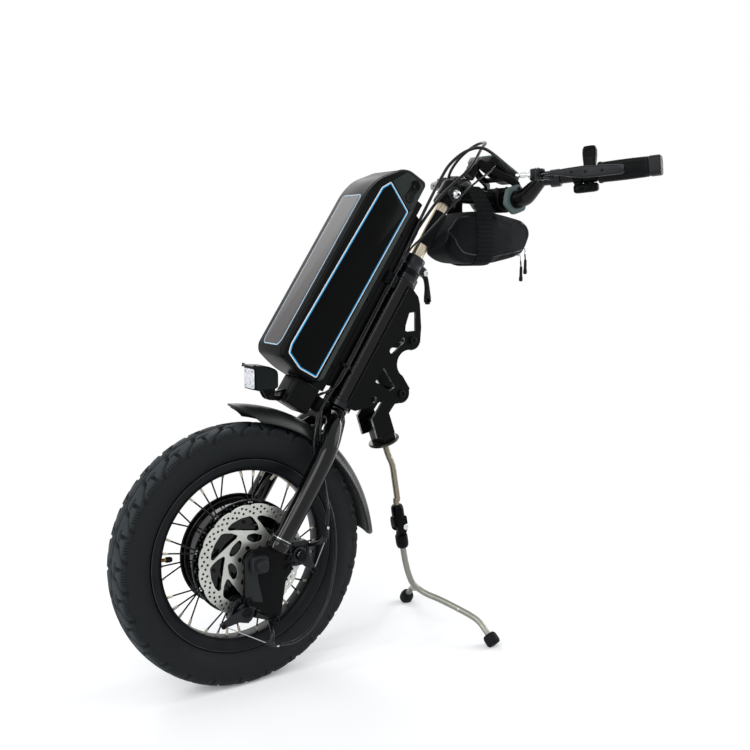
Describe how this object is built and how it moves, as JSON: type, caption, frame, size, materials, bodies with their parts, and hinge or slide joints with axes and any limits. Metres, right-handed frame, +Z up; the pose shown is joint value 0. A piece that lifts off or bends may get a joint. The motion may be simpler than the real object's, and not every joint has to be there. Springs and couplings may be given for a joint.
{
  "type": "wheelchair power assist",
  "caption": "Clip-on electric front wheel for a manual wheelchair: hub-motor wheel in a raked fork, docking plates, slide-off battery, handlebar and fold-up parking stand.",
  "frame": {"origin": "point on the ground under the axle, where the tyre rests", "axes": "+Z up, -X the way of travel, -Y the rider's left side"},
  "size_m": [0.8911, 0.5802, 0.9055],
  "materials": {
    "satin_black": "satin black powder coat",
    "gloss_black": "gloss black lacquer on alloy",
    "dark_alloy": "dark grey anodised alloy",
    "silver_alloy": "plain silver alloy",
    "champagne_alloy": "satin champagne anodised alloy",
    "warm_grey_metal": "satin warm grey",
    "rotor_steel": "ground stainless steel",
    "plain_steel": "turned steel",
    "black_steel": "blackened steel",
    "rim_grey": "dark grey satin",
    "tyre_rubber": "matte charcoal",
    "black_rubber": "matte",
    "cable_black": "smooth black jacket",
    "valve_brass": "worn",
    "satin_plastic": "satin black",
    "guard_plastic": "satin grey-black",
    "gloss_plastic": "gloss black",
    "teal_plastic": "pale teal-grey",
    "lens_clear": "clear",
    "bag_fabric": "coated black weave",
    "strap_webbing": "black webbing",
    "cell_wrap": "blue sleeve",
    "winding": "enamelled copper on a steel core",
    "pad_lining": "sintered lining"
  },
  "bodies": {
    "frame": {"head_tube": "satin_black", "headset_bearings": "dark_alloy", "dock_plate_left": "satin_black", "dock_plate_right": "satin_black", "dock_bolts": "black_steel", "stand_socket": "satin_black", "stand_post": "warm_grey_metal", "stand_knuckle": "satin_black"},
    "stand": {"stand_ferrule": "satin_black", "stand_leg": "silver_alloy", "stand_feet": "black_rubber"},
    "steering": {"fork_crown": "gloss_black", "fork_leg_left": "gloss_black", "fork_leg_right": "gloss_black", "brake_bracket": "satin_black", "dropout_right": "satin_black", "axle": "plain_steel", "axle_caps": "satin_black", "motor_stator": "winding", "caliper_service": "dark_alloy", "caliper_parking": "dark_alloy", "brake_pads": "pad_lining", "caliper_bolts": "black_steel", "mudguard": "guard_plastic", "battery_rail": "satin_black", "connector_box": "satin_plastic", "column_clamp": "satin_black", "cables_lower": "cable_black"},
    "caliper_arm_service": {"caliper_arm_service": "dark_alloy"},
    "caliper_arm_parking": {"caliper_arm_parking": "dark_alloy"},
    "headlight": {"headlight_housing": "satin_plastic", "headlight_lens": "lens_clear"},
    "battery": {"battery_case": "satin_plastic", "battery_cells": "cell_wrap", "battery_panels": "gloss_plastic"},
    "power_button": {"power_button": "satin_plastic"},
    "charge_port_cap": {"charge_port_cap": "black_rubber"},
    "wheel": {"tyre": "tyre_rubber", "rim": "rim_grey", "spokes": "black_steel", "valve_stem": "valve_brass", "hub_shell": "gloss_black", "hub_cover": "gloss_black", "hub_bearings": "plain_steel", "brake_rotor": "rotor_steel"},
    "clamp_lever": {"clamp_lever": "dark_alloy"},
    "bars": {"column_tube": "champagne_alloy", "stem": "gloss_black", "handlebar": "gloss_black", "grips": "black_rubber", "lever_perches": "dark_alloy", "throttle_body": "satin_plastic", "display": "gloss_plastic", "display_bracket": "teal_plastic", "bag": "bag_fabric", "bag_strap": "strap_webbing", "cables_upper": "cable_black"},
    "brake_lever_left": {"brake_lever_left": "dark_alloy"},
    "brake_lever_right": {"brake_lever_right": "dark_alloy"},
    "throttle_lever": {"throttle_lever": "satin_plastic"}
  },
  "joints": [
    {"name": "stand_fold", "type": "hinge", "parent": "frame", "child": "stand", "pos_m": [0.32412, 0, 0.20818], "axis": [0, -1, 0], "range_deg": [0, 100]},
    {"name": "steering_turn", "type": "hinge", "parent": "frame", "child": "steering", "pos_m": [0.02761, 0, 0.19693], "axis": [0.5476, 0, 0.8368], "range_deg": [-40, 40]},
    {"name": "service_arm_pull", "type": "hinge", "parent": "steering", "child": "caliper_arm_service", "pos_m": [-0.02251, -0.0702, 0.14136], "axis": [0, -1, 0], "range_deg": [0, 20], "stiffness_Nm_per_rad": 0.5},
    {"name": "parking_arm_pull", "type": "hinge", "parent": "steering", "child": "caliper_arm_parking", "pos_m": [0.077, -0.0702, 0.215], "axis": [0, -1, 0], "range_deg": [0, 20], "stiffness_Nm_per_rad": 0.5},
    {"name": "headlight_tilt", "type": "hinge", "parent": "steering", "child": "headlight", "pos_m": [0.05608, 0, 0.46871], "axis": [0, 1, 0], "range_deg": [-20, 20]},
    {"name": "battery_slide", "type": "slide", "parent": "steering", "child": "battery", "axis": [0.5476, 0, 0.8368], "range_m": [0, 0.06]},
    {"name": "power_button_press", "type": "slide", "parent": "battery", "child": "power_button", "axis": [0, 1, 0], "range_m": [0, 0.0015], "stiffness_N_per_m": 800},
    {"name": "charge_cap_flap", "type": "hinge", "parent": "battery", "child": "charge_port_cap", "pos_m": [0.3085, -0.0473, 0.80011], "axis": [-0.8368, 0, 0.5476], "range_deg": [0, 90]},
    {"name": "wheel_spin", "type": "hinge", "parent": "steering", "child": "wheel", "pos_m": [0, 0, 0.215], "axis": [0, 1, 0], "continuous": true},
    {"name": "clamp_lever_open", "type": "hinge", "parent": "steering", "child": "clamp_lever", "pos_m": [0.36644, 0, 0.66358], "axis": [0, -1, 0], "range_deg": [0, 85]},
    {"name": "column_slide", "type": "slide", "parent": "steering", "child": "bars", "axis": [0.5476, 0, 0.8368], "range_m": [0, 0.06]},
    {"name": "brake_lever_left_pull", "type": "hinge", "parent": "bars", "child": "brake_lever_left", "pos_m": [0.51682, -0.13, 0.83414], "axis": [0, 0, 1], "range_deg": [0, 10], "stiffness_Nm_per_rad": 1},
    {"name": "brake_lever_right_pull", "type": "hinge", "parent": "bars", "child": "brake_lever_right", "pos_m": [0.51682, 0.13, 0.83414], "axis": [0, 0, -1], "range_deg": [0, 10], "stiffness_Nm_per_rad": 1},
    {"name": "throttle_press", "type": "hinge", "parent": "bars", "child": "throttle_lever", "pos_m": [0.59682, -0.181, 0.83614], "axis": [0.5373, -0.8383, 0.0926], "range_deg": [0, 40], "stiffness_Nm_per_rad": 0.05}
  ],
  "couplings": [
    {"joint": "service_arm_pull", "follows": "brake_lever_left_pull", "ratio": 1.9},
    {"joint": "parking_arm_pull", "follows": "brake_lever_right_pull", "ratio": 1.9}
  ]
}
